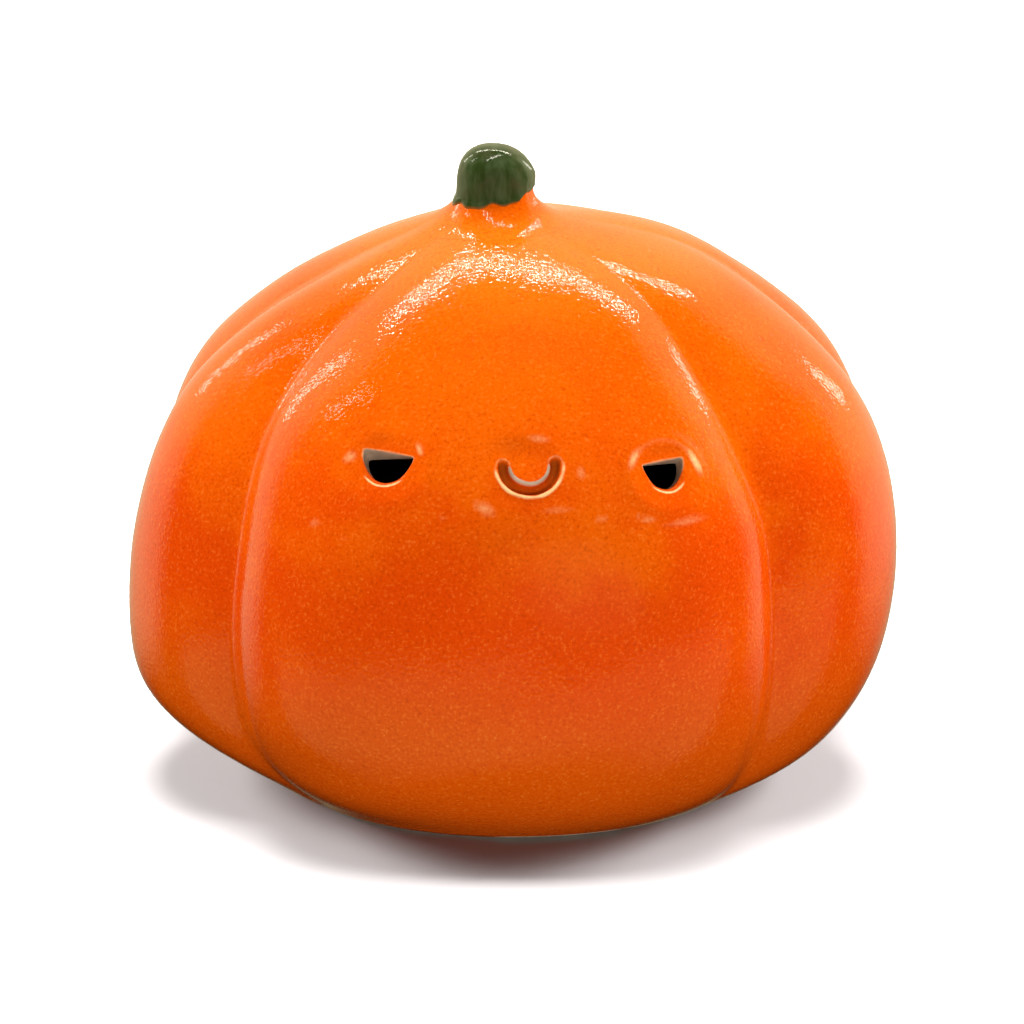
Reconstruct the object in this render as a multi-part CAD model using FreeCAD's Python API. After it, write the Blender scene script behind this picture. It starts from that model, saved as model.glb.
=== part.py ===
import FreeCAD, Part
import math
import os

# A hollow hand-built ceramic pumpkin with a pressed face, luted together from five clay pieces.
# Millimetres. The origin is the centre of the foot plane, the face looks along -Y, +Z is up.
# Azimuths are in degrees from the front (-Y) towards +X.

Vector = FreeCAD.Vector

# Body: control rings from the foot to the crown.
# height, radius, shift along X, share of the groove depth, share of the groove lean
BODY_RINGS = [
    (0.0, 32.0, 0.0, 0.10, 0.00),
    (3.0, 37.5, 1.4, 0.35, 0.00),
    (9.0, 47.5, -1.0, 0.90, 0.00),
    (22.0, 51.5, -0.2, 1.00, 0.10),
    (40.0, 50.5, 1.0, 1.00, 0.30),
    (54.0, 45.0, 1.2, 1.00, 0.60),
    (65.5, 31.0, 2.2, 0.90, 0.85),
    (71.0, 19.0, 2.6, 0.50, 1.00),
    (74.0, 7.2, -1.6, 0.10, 1.00),
]
# Grooves between the ribs: azimuth at the waist, depth as a share of the radius, lean at the crown
GROOVES = [
    (-103.0, 0.075, 18.0),
    (-47.0, 0.075, -6.0),
    (0.0, 0.012, 0.0),
    (45.5, 0.075, -11.5),
    (99.0, 0.075, -6.0),
    (137.0, 0.070, 0.0),
    (176.0, 0.060, 0.0),
    (217.0, 0.070, 0.0),
]
RIB_FULLNESS = 0.6       # below 1 keeps the ribs full and the grooves narrow
COLUMNS = 120            # control columns around the body
DEGREE = 3
PAST_THE_SKIN = 80.0     # any length that reaches from the axis through the wall

# Hollow: the body's own shape, drawn in on every side
HOLLOW_SHARE = 0.92      # share of the body's width, which leaves about 4 mm of clay
HOLLOW_FLOOR = 5.0       # height of the hollow's floor
HOLLOW_TOP = 70.3        # height of the hollow's top

# Foot
BORE_RADIUS = 27.0       # the opening that the base disc closes
BORE_PASS = 1.0          # the cut runs this far past the clay at both ends
DISC_UNDERSIDE = 1.4     # the disc sits this far above the foot plane
COIL_WIDTH = 1.8         # the coil in the corner under the disc
COIL_HEIGHT = 1.1
COIL_HOLLOW = 0.4         # how far the coil's smoothed face stands from its corner, as a share

# Eyes: azimuth and height of the centre, width and height of the half-moon, tilt in its own plane
EYES = [
    {"azimuth": -20.6, "height": 52.3, "width": 6.8, "drop": 3.9, "tilt": -3.0},
    {"azimuth": 23.8, "height": 51.5, "width": 6.4, "drop": 3.6, "tilt": 3.0},
]
EYE_REACH = 9.0          # how far the knife goes to each side of the outer skin
EYE_SIDE = 0.35          # share of the drop where the sides run straight
EYE_TAPER = 0.06         # how far those sides draw in, as a share of half the width

# Mouth: half of a tube's end, pressed in
MOUTH_AZIMUTH = 2.4
MOUTH_HEIGHT = 52.6
MOUTH_RADIUS = 3.4       # middle of the pressed groove
MOUTH_GROOVE = 1.4       # width of the groove
MOUTH_DEPTH = 1.6
MOUTH_RISE = 0.5         # the two ends run straight up by this much

# Stem and collar
SEAT_HEIGHT = BODY_RINGS[-1][0]
STEM_CENTRE = Vector(-2.1, 0.0, 0.0)
ROOT_RADIUS = 4.5
COLLAR_FOOT_RADIUS = 6.6
COLLAR_WAIST_RADIUS = 5.7
COLLAR_WAIST_HEIGHT = 74.9
COLLAR_TOP = 76.2
COLLAR_LIP = 0.6         # width of the collar's top edge
# Knob of the stem: height, radius, shift along X
KNOB_RINGS = [
    (COLLAR_TOP, 5.1, 0.0),
    (77.8, 5.2, 0.0),
    (79.6, 5.0, 0.1),
    (81.4, 4.3, 0.1),
    (82.6, 3.0, -0.1),
    (83.1, 1.3, -0.2),
]


def mix(a, b, share):
    return a + (b - a) * share


def rib_at(azimuth):
    """Groove amount and lean at an azimuth, between the two grooves beside it."""
    first = GROOVES[0][0]
    turned = (azimuth - first) % 360.0
    ring = GROOVES + [(first + 360.0,) + GROOVES[0][1:]]
    for left, right in zip(ring, ring[1:]):
        if turned <= right[0] - first:
            break
    share = (turned - (left[0] - first)) / (right[0] - left[0])
    fullness = math.sin(math.pi * share) ** RIB_FULLNESS
    smooth = share * share * (3.0 - 2.0 * share)
    return mix(left[1], right[1], share) * (1.0 - fullness), mix(left[2], right[2], smooth)


def ring_of_poles(ring, share):
    """Control points of one ring, drawn in to a share of the body's width."""
    height, radius, shift, depth_share, lean_share = ring
    poles = []
    for column in range(COLUMNS):
        azimuth = 360.0 * column / COLUMNS
        groove, lean = rib_at(azimuth)
        angle = math.radians(azimuth + lean_share * lean)
        reach = share * radius * (1.0 - depth_share * groove)
        poles.append(Vector(reach * math.sin(angle) + shift, -reach * math.cos(angle), height))
    return poles


def ribbed_solid(rings, share):
    """Closed solid: one smooth skin through the rings, capped flat at its foot and its crown."""
    poles = [ring_of_poles(ring, share) for ring in rings]
    spans = len(rings) - DEGREE
    skin = Part.BSplineSurface()
    skin.buildFromPolesMultsKnots(
        poles,
        [DEGREE + 1] + [1] * (spans - 1) + [DEGREE + 1],
        [1] * (COLUMNS + 1),
        [k / spans for k in range(spans + 1)],
        [k / COLUMNS for k in range(COLUMNS + 1)],
        False, True, DEGREE, DEGREE)
    side = skin.toShape()
    caps = []
    for end in (0.0, 1.0):
        rim = skin.uIso(end).toShape()
        caps.append(Part.Face(Part.Wire([rim])))
    shell = Part.makeShell([side] + caps)
    shell.sewShape()
    solid = Part.Solid(shell)
    if solid.Volume < 0:
        solid.reverse()
    return solid


def hollow_rings():
    """The body's rings squeezed in height between the hollow's floor and its top."""
    top = BODY_RINGS[-1][0]
    return [(mix(HOLLOW_FLOOR, HOLLOW_TOP, ring[0] / top),) + ring[1:] for ring in BODY_RINGS]


def outward(azimuth):
    angle = math.radians(azimuth)
    return Vector(math.sin(angle), -math.cos(angle), 0.0)


def frame_on(body, azimuth, height):
    """Point on the outer skin, with its sideways, upward and outward directions."""
    start = Vector(0.0, 0.0, height)
    ray = Part.makeLine(start, start + outward(azimuth) * PAST_THE_SKIN)
    inside = ray.common(body)
    point = max((v.Point for v in inside.Vertexes), key=lambda p: (p - start).Length)
    skin = max(body.Faces, key=lambda face: face.Area)
    out = skin.normalAt(*skin.Surface.parameter(point))
    if out.dot(point - start) < 0:
        out = out * -1.0
    side = Vector(0.0, 0.0, 1.0).cross(out).normalize()
    return point, side, out.cross(side), out


def pressed_prism(outline, depth_in, depth_out, out):
    """Prism through the clay from a flat outline on the skin."""
    lifted = outline.copy()
    lifted.translate(out * depth_out)
    return Part.Face(lifted).extrude(out * -(depth_in + depth_out))


def half_moon(eye, point, side, up):
    """Flat-topped half-moon outline in the plane of side and up."""
    tilt = math.radians(eye["tilt"])
    along = side * math.cos(tilt) + up * math.sin(tilt)
    down = (side * math.sin(tilt) - up * math.cos(tilt)) * eye["drop"]
    half = along * (eye["width"] / 2.0)
    top = point - down * 0.5
    left, right = top - half, top + half
    low = top + down
    left_low = left + down * EYE_SIDE + half * EYE_TAPER
    right_low = right + down * EYE_SIDE - half * EYE_TAPER
    edges = [
        Part.makeLine(left, right),
        Part.makeLine(right, right_low),
        Part.Arc(right_low, low, left_low).toShape(),
        Part.makeLine(left_low, left),
    ]
    return Part.Wire(edges)


def smile(point, side, up):
    """U-shaped outline of the pressed groove, open at the top."""
    def at(radius, degrees, rise=0.0):
        angle = math.radians(degrees)
        return point + side * (radius * math.cos(angle)) + up * (radius * math.sin(angle) + rise)

    inner = MOUTH_RADIUS - MOUTH_GROOVE / 2.0
    outer = MOUTH_RADIUS + MOUTH_GROOVE / 2.0
    bulge = MOUTH_RISE + MOUTH_GROOVE / 2.0
    edges = [
        Part.Arc(at(outer, 180), at(outer, 270), at(outer, 360)).toShape(),
        Part.makeLine(at(outer, 0), at(outer, 0, MOUTH_RISE)),
        Part.Arc(at(outer, 0, MOUTH_RISE), at(MOUTH_RADIUS, 0, bulge), at(inner, 0, MOUTH_RISE)).toShape(),
        Part.makeLine(at(inner, 0, MOUTH_RISE), at(inner, 0)),
        Part.Arc(at(inner, 360), at(inner, 270), at(inner, 180)).toShape(),
        Part.makeLine(at(inner, 180), at(inner, 180, MOUTH_RISE)),
        Part.Arc(at(inner, 180, MOUTH_RISE), at(MOUTH_RADIUS, 180, bulge), at(outer, 180, MOUTH_RISE)).toShape(),
        Part.makeLine(at(outer, 180, MOUTH_RISE), at(outer, 180)),
    ]
    return Part.Wire(edges)


def pumpkin_shell():
    """Ribbed wall with its hollow, foot bore, crown seat, eye holes and pressed mouth."""
    body = ribbed_solid(BODY_RINGS, 1.0)
    cuts = [ribbed_solid(hollow_rings(), HOLLOW_SHARE)]
    cuts.append(Part.makeCylinder(BORE_RADIUS, HOLLOW_FLOOR + 2 * BORE_PASS, Vector(0, 0, -BORE_PASS)))
    for eye in EYES:
        point, side, up, out = frame_on(body, eye["azimuth"], eye["height"])
        cuts.append(pressed_prism(half_moon(eye, point, side, up), EYE_REACH, EYE_REACH, out))
    point, side, up, out = frame_on(body, MOUTH_AZIMUTH, MOUTH_HEIGHT)
    cuts.append(pressed_prism(smile(point, side, up), MOUTH_DEPTH, MOUTH_DEPTH, out))
    return body.cut(cuts)


def base_disc():
    """Rolled slab that closes the foot bore, set in above the foot plane."""
    return Part.makeCylinder(BORE_RADIUS, HOLLOW_FLOOR - DISC_UNDERSIDE, Vector(0, 0, DISC_UNDERSIDE))


def turned(points, centre):
    """Solid of revolution about a vertical axis from (radius, height) points or arc triples."""
    edges = []
    for item in points:
        ends = [Vector(radius, 0, height) for radius, height in item]
        edges.append(Part.makeLine(*ends) if len(ends) == 2 else Part.Arc(*ends).toShape())
    solid = Part.Face(Part.Wire(edges)).revolve(Vector(0, 0, 0), Vector(0, 0, 1), 360)
    solid.translate(centre)
    return solid


def base_seam_coil():
    """Thin roll of clay smoothed into the corner between the disc and the foot ring."""
    top = DISC_UNDERSIDE
    low = DISC_UNDERSIDE - COIL_HEIGHT
    middle = (BORE_RADIUS - COIL_WIDTH * COIL_HOLLOW, top - COIL_HEIGHT * COIL_HOLLOW)
    return turned([
        [(BORE_RADIUS, low), (BORE_RADIUS, top)],
        [(BORE_RADIUS, top), (BORE_RADIUS - COIL_WIDTH, top)],
        [(BORE_RADIUS - COIL_WIDTH, top), middle, (BORE_RADIUS, low)],
    ], Vector(0, 0, 0))


def stem_collar():
    """Flared coil around the root of the stem, standing on the crown seat."""
    lip = ROOT_RADIUS + COLLAR_LIP
    return turned([
        [(ROOT_RADIUS, SEAT_HEIGHT), (COLLAR_FOOT_RADIUS, SEAT_HEIGHT)],
        [(COLLAR_FOOT_RADIUS, SEAT_HEIGHT), (COLLAR_WAIST_RADIUS, COLLAR_WAIST_HEIGHT), (lip, COLLAR_TOP)],
        [(lip, COLLAR_TOP), (ROOT_RADIUS, COLLAR_TOP)],
        [(ROOT_RADIUS, COLLAR_TOP), (ROOT_RADIUS, SEAT_HEIGHT)],
    ], STEM_CENTRE)


def knob_ring(height, radius, shift):
    centre = STEM_CENTRE + Vector(shift, 0, height)
    return Part.Wire([Part.makeCircle(radius, centre)])


def stem():
    """Rolled stem: a straight root inside the collar and a rounded knob above it."""
    root = Part.makeCylinder(ROOT_RADIUS, COLLAR_TOP - SEAT_HEIGHT, STEM_CENTRE + Vector(0, 0, SEAT_HEIGHT))
    knob = Part.makeLoft([knob_ring(*ring) for ring in KNOB_RINGS], True, False)
    return root.fuse(knob)


NODES = {
    "pumpkin_shell": pumpkin_shell,
    "base_disc": base_disc,
    "base_seam_coil": base_seam_coil,
    "stem_collar": stem_collar,
    "stem": stem,
}

os.makedirs("parts", exist_ok=True)
for name, make in NODES.items():
    shape = make()
    box = shape.optimalBoundingBox()
    print(f"{name}: {len(shape.Solids)} solid, valid {shape.isValid()}, {shape.Volume:.0f} mm3, "
          f"x {box.XMin:.2f}..{box.XMax:.2f}, y {box.YMin:.2f}..{box.YMax:.2f}, z {box.ZMin:.2f}..{box.ZMax:.2f}")
    shape.exportStep(f"parts/{name}.step")
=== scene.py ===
import math
import bpy
import numpy as np
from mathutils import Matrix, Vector


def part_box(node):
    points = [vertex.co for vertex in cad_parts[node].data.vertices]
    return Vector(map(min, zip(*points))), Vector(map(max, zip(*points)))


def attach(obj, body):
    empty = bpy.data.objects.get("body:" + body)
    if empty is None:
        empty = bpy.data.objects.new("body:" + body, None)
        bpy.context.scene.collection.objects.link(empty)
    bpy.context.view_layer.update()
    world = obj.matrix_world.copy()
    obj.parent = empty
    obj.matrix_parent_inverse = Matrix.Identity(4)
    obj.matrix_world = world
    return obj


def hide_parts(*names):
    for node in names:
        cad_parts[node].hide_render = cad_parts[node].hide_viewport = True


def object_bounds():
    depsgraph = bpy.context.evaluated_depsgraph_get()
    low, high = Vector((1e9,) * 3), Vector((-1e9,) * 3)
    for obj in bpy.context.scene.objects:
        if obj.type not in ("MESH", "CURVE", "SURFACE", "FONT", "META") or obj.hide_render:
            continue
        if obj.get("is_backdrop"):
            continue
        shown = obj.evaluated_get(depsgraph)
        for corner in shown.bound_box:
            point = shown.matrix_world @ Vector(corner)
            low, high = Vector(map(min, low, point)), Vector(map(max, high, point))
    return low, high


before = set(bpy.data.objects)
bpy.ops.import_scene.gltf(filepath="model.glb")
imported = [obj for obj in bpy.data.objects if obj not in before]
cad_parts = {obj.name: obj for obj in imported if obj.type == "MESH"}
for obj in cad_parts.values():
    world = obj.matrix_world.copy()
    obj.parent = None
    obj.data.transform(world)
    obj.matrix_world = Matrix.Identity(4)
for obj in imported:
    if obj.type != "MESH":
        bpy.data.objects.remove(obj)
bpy.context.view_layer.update()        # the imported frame: bodies, nodes, record

# body of the pumpkin, in millimetres; azimuths in degrees from the front towards +X
body = {
    # control rings from foot to crown: height, radius, shift along X, share of groove depth, share of lean
    "rings": np.array([
        (0.0, 32.0, 0.0, 0.10, 0.00), (3.0, 37.5, 1.4, 0.35, 0.00), (9.0, 47.5, -1.0, 0.90, 0.00),
        (22.0, 51.5, -0.2, 1.00, 0.10), (40.0, 50.5, 1.0, 1.00, 0.30), (54.0, 45.0, 1.2, 1.00, 0.60),
        (65.5, 31.0, 2.2, 0.90, 0.85), (71.0, 19.0, 2.6, 0.50, 1.00), (74.0, 7.2, -1.6, 0.10, 1.00)]),
    # grooves: azimuth at the waist, depth as a share of the radius, lean at the crown, climb where it fades
    "grooves": np.array([
        (-103.0, 0.086, 18.0, 2.0), (-48.6, 0.094, -6.0, 2.0), (0.0, 0.014, 0.0, 0.42),
        (47.0, 0.094, -11.5, 2.0), (99.0, 0.086, -6.0, 2.0), (137.0, 0.075, 0.0, 2.0),
        (176.0, 0.062, 0.0, 2.0), (217.0, 0.072, 0.0, 2.0)]),
    "fullness": 0.72,         # below 1 keeps the ribs full and the grooves narrow
    "grooveRound": 0.10,     # rounding of a groove's bottom, as a share of the rib
    "fadeBand": 0.16,         # climb over which a fading groove dies out
    "columns": 288,
    "rowStep": 1.12,
    "hollowShare": 0.92,      # width of the hollow against the body's
    "hollowFloor": 5.0,
    "hollowTop": 70.3,
}

shellLow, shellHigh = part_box("pumpkin_shell")
mm = (shellHigh.z - shellLow.z) / body["rings"][-1][0]     # one millimetre, from the frame's own height
discLow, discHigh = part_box("base_disc")
coilLow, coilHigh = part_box("base_seam_coil")
collarLow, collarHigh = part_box("stem_collar")


def smooth(low, high, value):
    # 0 below low, 1 above high, an S between
    share = np.clip((value - low) / (high - low), 0, 1)
    return share * share * (3 - 2 * share)


def splineWeights(places, count, degree=3):
    # cubic B-spline weights on even knots, doubled at the ends: a row per place, a column per control ring
    knots = np.concatenate([np.zeros(degree), np.linspace(0, 1, count - degree + 1), np.ones(degree)])
    at = np.clip(places, 0, 1 - 1e-9)[:, None]
    weights = ((at >= knots[:-1]) & (at < knots[1:])).astype(float)
    for order in range(1, degree + 1):
        size = len(knots) - 1 - order
        rise = np.maximum(knots[order:order + size] - knots[:size], 1e-12)
        fall = np.maximum(knots[order + 1:order + 1 + size] - knots[1:1 + size], 1e-12)
        weights = ((at - knots[:size]) / rise * weights[:, :size]
                   + (knots[order + 1:order + 1 + size] - at) / fall * weights[:, 1:size + 1])
    return weights


def ribAt(azimuth, climb):
    # groove amount and lean: the two grooves beside an azimuth, and how far between them it lies
    table = body["grooves"]
    edges = np.append(table[:, 0], table[0, 0] + 360) - table[0, 0]
    turned = (azimuth - table[0, 0]) % 360
    left = np.clip(np.searchsorted(edges, turned, side="right") - 1, 0, len(table) - 1)
    right = (left + 1) % len(table)
    share = (turned - edges[left]) / (edges[left + 1] - edges[left])
    depthLeft = table[left, 1] * (1 - smooth(table[left, 3], table[left, 3] + body["fadeBand"], climb))
    depthRight = table[right, 1] * (1 - smooth(table[right, 3], table[right, 3] + body["fadeBand"], climb))
    blunt = body["grooveRound"] ** body["fullness"]
    full = (np.sin(np.pi * share) ** 2 + body["grooveRound"] ** 2) ** (body["fullness"] / 2)
    groove = (depthLeft * (1 - share) + depthRight * share) * (1 - full) / (1 - blunt)
    eased = smooth(0, 1, share)
    return groove, table[left, 2] * (1 - eased) + table[right, 2] * eased


def bodySkin(azimuth, climb, hollow=False):
    # sum over rings of spline weight(climb) x ring point(azimuth); the hollow is drawn in and squeezed
    rings = body["rings"]
    heights, share = rings[:, 0], 1.0
    if hollow:
        heights = body["hollowFloor"] + heights / heights[-1] * (body["hollowTop"] - body["hollowFloor"])
        share = body["hollowShare"]
    groove, lean = ribAt(azimuth, climb)
    angle = np.radians(azimuth[:, None] + rings[:, 4] * lean[:, None])
    reach = share * rings[:, 1] * (1 - rings[:, 3] * groove[:, None])
    weights = splineWeights(climb, len(rings))
    x = (weights * (reach * np.sin(angle) + rings[:, 2])).sum(1)
    y = (weights * (-reach * np.cos(angle))).sum(1)
    return np.stack([x, y, weights @ heights], 1)


def unit(vectors):
    return vectors / np.maximum(np.linalg.norm(vectors, axis=-1, keepdims=True), 1e-12)


def skinNormal(azimuth, climb, hollow=False):
    # across the skin times up the skin, by small steps either way
    low, high = np.clip(climb - 0.002, 0, 1), np.clip(climb + 0.002, 0, 1)
    across = bodySkin(azimuth + 0.2, climb, hollow) - bodySkin(azimuth - 0.2, climb, hollow)
    return unit(np.cross(across, bodySkin(azimuth, high, hollow) - bodySkin(azimuth, low, hollow)))


def findOnSkin(measure, targets, azimuth, climb, hollow=False):
    # Newton's method: azimuth and climb move until the two measures of the skin point meet their targets
    for attempt in range(10):
        here = measure(bodySkin(azimuth, climb, hollow))
        byAzimuth = (measure(bodySkin(azimuth + 0.05, climb, hollow)) - here) / 0.05
        byClimb = (measure(bodySkin(azimuth, climb + 0.0004, hollow)) - here) / 0.0004
        miss = targets - here
        area = byAzimuth[:, 0] * byClimb[:, 1] - byAzimuth[:, 1] * byClimb[:, 0]
        azimuth = azimuth + (miss[:, 0] * byClimb[:, 1] - miss[:, 1] * byClimb[:, 0]) / area
        climb = climb + (byAzimuth[:, 0] * miss[:, 1] - byAzimuth[:, 1] * miss[:, 0]) / area
        climb = np.clip(climb, 0.01, 0.9985)
    return azimuth, climb


def placeOnSkin(azimuth, height):
    # a face feature's place: its azimuth and climb, its centre, and sideways, upward, outward directions
    def measure(points):
        return np.stack([np.degrees(np.arctan2(points[:, 0], -points[:, 1])), points[:, 2]], 1)

    start = np.array([float(azimuth)]), np.array([0.65])
    atAzimuth, atClimb = findOnSkin(measure, np.array([[azimuth, height]]), *start)
    centre = bodySkin(atAzimuth, atClimb)[0]
    outward = skinNormal(atAzimuth, atClimb)[0]
    side = unit(np.cross((0, 0, 1), outward))
    return {"azimuth": atAzimuth[0], "climb": atClimb[0], "centre": centre, "outward": outward,
            "side": side, "up": np.cross(outward, side)}


# the face: half-moon holes, each in a pressed dimple with a raised ring, and a smile pressed with a tube;
# slide and turn say where the knife came out on the hollow's side
eyes = [
    # pale: strength of the painted highlight on the dimple's raised ring
    {"azimuth": -20.5, "height": 52.15, "width": 6.7, "drop": 3.7, "tilt": -4.0, "slide": (-0.40, 0.40),
     "turn": 11.0, "dimple": 0.30, "dimpleSize": (5.2, 4.2), "ring": 0.10, "pale": 0.10},
    {"azimuth": 25.0, "height": 51.35, "width": 5.8, "drop": 3.45, "tilt": 3.0, "slide": (0.60, 0.40),
     "turn": -5.0, "dimple": 0.40, "dimpleSize": (4.4, 4.1), "ring": 0.24, "pale": 0.24},
]
eyeCut = {"lipTop": 0.22, "lipLow": 0.95, "corner": 0.10, "patch": (7.6, 6.6), "rings": 22, "wallRings": 12}
mouth = {"azimuth": 2.95, "height": 53.05, "radius": 3.15, "groove": 0.64, "depth": 1.4, "rise": 0.15,
         "burr": 0.24, "patch": (7.4, 7.0), "ringStep": 0.125, "reach": 5.6, "tip": 0.55}
for feature in eyes + [mouth]:
    feature["place"] = placeOnSkin(feature["azimuth"], feature["height"])
    feature["place"]["patch"] = feature.get("patch", eyeCut["patch"])


def localTo(place, points):
    # millimetres sideways and upward from a feature's centre
    away = points - place["centre"]
    return np.stack([away @ place["side"], away @ place["up"]], 1)


def onItsSide(place, points):
    # false for points on the far side of the body, behind the feature
    return (points - place["centre"]) @ place["outward"] > -12


# uneven hand pressure: length of a wave in mm, height in mm, direction, phase
handWaves = [
    (61.0, 0.34, (0.7, 0.5, 0.5), 0.3), (43.0, 0.26, (-0.6, 0.3, 0.8), 1.9),
    (29.0, 0.13, (0.2, -0.7, 0.7), 4.1), (23.0, 0.09, (0.8, 0.6, -0.3), 2.6),
    (17.0, 0.055, (-0.3, 0.5, 0.9), 5.2), (13.0, 0.035, (0.9, -0.2, 0.4), 0.9),
    (9.5, 0.020, (-0.5, -0.8, 0.4), 3.3), (7.0, 0.011, (0.4, 0.3, -0.9), 1.1),
]


def handPress(points):
    # sum of slow sine waves bent by one another, plus the dimples and burrs around the face's features
    lift = np.zeros(len(points))
    bend = np.sin(points @ np.array([0.05, 0.04, -0.06]))
    for length, height, direction, phase in handWaves:
        lift += height * np.sin(points @ unit(np.array(direction)) * 2 * np.pi / length + phase + 1.7 * bend)
    lift *= 0.75 * smooth(1, 12, points[:, 2])
    for eye in eyes:
        flat = localTo(eye["place"], points) / np.array(eye["dimpleSize"])
        ahead = onItsSide(eye["place"], points)
        radius = np.linalg.norm(flat, axis=1)
        lift -= eye["dimple"] * np.exp(-(radius / 0.86) ** 4) * ahead
        lift += eye["ring"] * np.exp(-((radius - 1.12) / 0.22) ** 2) * ahead
    flat = localTo(mouth["place"], points)
    dent = np.exp(-((flat[:, 0] + 2.2) / 2.2) ** 2 - ((flat[:, 1] - 3.0) / 1.2) ** 2)
    swell = np.exp(-((flat[:, 0] - 0.2) / 5.5) ** 2 - ((flat[:, 1] + 5.6) / 1.4) ** 2)
    return lift + (0.16 * swell - 0.22 * dent) * onItsSide(mouth["place"], points)


def claySkin(azimuth, climb):
    # the outer skin as the hand left it
    points = bodySkin(azimuth, climb)
    return points + skinNormal(azimuth, climb) * handPress(points)[:, None]


# painted light near the face: pale patches painted as highlights ('edge') and darker patches painted as
# shade where a dent catches no reflection ('pool'); feature, place and half size in mm, turn, strength
paintedFaceLight = {
    "edge": [
        (mouth, (-5.8, -5.0), (1.8, 0.9), -40, 0.42), (mouth, (3.1, -5.8), (2.6, 0.6), 4, 0.30),
        (mouth, (6.2, -1.3), (0.7, 1.1), 0, 0.36), (mouth, (1.4, 3.4), (1.7, 0.7), -12, 0.34),
        (mouth, (8.4, -7.0), (1.1, 0.6), 20, 0.34), (mouth, (-10.3, -5.5), (1.3, 0.4), 15, 0.30),
        (eyes[1], (-4.2, -5.0), (1.9, 0.5), -24, 0.38), (eyes[1], (1.6, -6.0), (3.4, 0.55), 6, 0.42),
        (eyes[1], (4.4, 1.0), (0.5, 1.5), 20, 0.55), (eyes[1], (-4.2, 2.4), (0.5, 1.6), -38, 0.36),
        (eyes[0], (-4.7, 0.8), (1.0, 0.7), 30, 0.40), (eyes[0], (4.0, 2.6), (0.4, 0.9), 30, 0.45),
        (eyes[0], (-8.2, -7.5), (1.2, 0.7), -30, 0.34), (eyes[0], (-4.2, -8.9), (1.8, 0.4), -10, 0.30),
    ],
    "pool": [
        (mouth, (-2.6, 2.6), (2.3, 1.0), 4, 0.24), (eyes[0], (-1.8, 3.6), (1.6, 1.2), 10, 0.20),
        (eyes[1], (0.2, 3.0), (2.6, 0.7), 0, 0.20), (mouth, (-4.0, -9.0), (3.6, 1.6), 0, 0.14),
    ],
}


def paintedFaceLightMarks(points):
    # each painted highlight or shade spot fades out by its own ellipse, exp(-(a^2 + b^2))
    marks = {}
    for name, spots in paintedFaceLight.items():
        marks[name] = np.zeros(len(points))
        for feature, centre, size, turn, strength in spots:
            flat = localTo(feature["place"], points) - np.array(centre)
            along, across = math.cos(math.radians(turn)), math.sin(math.radians(turn))
            turned = flat @ np.array([[along, -across], [across, along]])
            faded = np.exp(-((turned / np.array(size)) ** 2).sum(1))
            marks[name] += strength * faded * onItsSide(feature["place"], points)
    return marks


class Clay:
    # gathers points, faces and painted marks of one piece
    def __init__(self, marks=("bare", "edge", "pool")):
        self.points, self.faces, self.total = [], [], 0
        self.marks = {name: [] for name in marks}

    def add(self, points, **painted):
        ids = np.arange(self.total, self.total + len(points))
        self.points.append(points)
        self.total += len(points)
        for name, values in self.marks.items():
            values.append(np.broadcast_to(painted.get(name, 0.0), len(points)))
        return ids

    def sheet(self, ids, keep=None):
        # closed rows of points: faces look along columns-to-the-right times rows-onward
        right = np.roll(ids, -1, axis=1)
        quads = np.stack([ids[:-1], right[:-1], right[1:], ids[1:]], -1)
        self.faces.append(quads[keep] if keep is not None else quads.reshape(-1, 4))

    def fan(self, ring, centre, turned=False):
        onward = np.roll(ring, -1)
        tips = np.full(len(ring), centre)
        self.faces.append(np.stack([onward, ring, tips] if turned else [ring, onward, tips], 1))

    def step(self, before, after):
        # joins two closed rings whose counts are equal, or one double the other
        if len(before) == len(after):
            self.faces.append(np.stack([after, before, np.roll(before, -1), np.roll(after, -1)], 1))
        elif len(after) == 2 * len(before):
            first, middle, last = after[0::2], after[1::2], np.roll(after[0::2], -1)
            self.faces += [np.stack([before, np.roll(before, -1), middle], 1),
                           np.stack([first, before, middle], 1),
                           np.stack([middle, np.roll(before, -1), last], 1)]
        else:
            first, middle, last = before[0::2], before[1::2], np.roll(before[0::2], -1)
            self.faces += [np.stack([after, middle, np.roll(after, -1)], 1),
                           np.stack([after, first, middle], 1),
                           np.stack([np.roll(after, -1), middle, last], 1)]

    def piece(self, name, sharp=50):
        points = np.concatenate(self.points)
        used = np.unique(np.concatenate([faces.ravel() for faces in self.faces]))
        renumber = np.zeros(len(points), int)
        renumber[used] = np.arange(len(used))
        mesh = bpy.data.meshes.new(name)
        polygons = [face for faces in self.faces for face in renumber[faces].tolist()]
        mesh.from_pydata((points[used] * mm).tolist(), [], polygons)
        for mark, values in self.marks.items():
            attribute = mesh.attributes.new(mark, "FLOAT", "POINT")
            attribute.data.foreach_set("value", np.concatenate(values)[used].astype(np.float32))
        mesh.polygons.foreach_set("use_smooth", np.ones(len(mesh.polygons), bool))
        mesh.set_sharp_from_angle(angle=math.radians(sharp))
        mesh.update()
        made = bpy.data.objects.new(name, mesh)
        bpy.context.scene.collection.objects.link(made)
        print(name, len(mesh.polygons), "faces")
        return made


def halfMoonRadius(eye, angle):
    # from the half-moon's middle to its edge, by halving: a flat top and a round, met with a small corner
    tilt = math.radians(eye["tilt"])
    low, high = np.zeros(len(angle)), np.full(len(angle), eye["width"])
    for halving in range(40):
        middle = (low + high) / 2
        side, up = middle * np.cos(angle - tilt), middle * np.sin(angle - tilt)
        down = (eye["drop"] / 2 - up) / eye["drop"]
        beyond = ((np.abs(side) / (eye["width"] / 2)) ** 1.9 + np.abs(down) ** 1.9) ** (1 / 1.9) - 1
        outside = np.logaddexp(beyond / eyeCut["corner"] * 2, -down / eyeCut["corner"] * 2) > 0
        low, high = np.where(outside, low, middle), np.where(outside, middle, high)
    return (low + high) / 2


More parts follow.
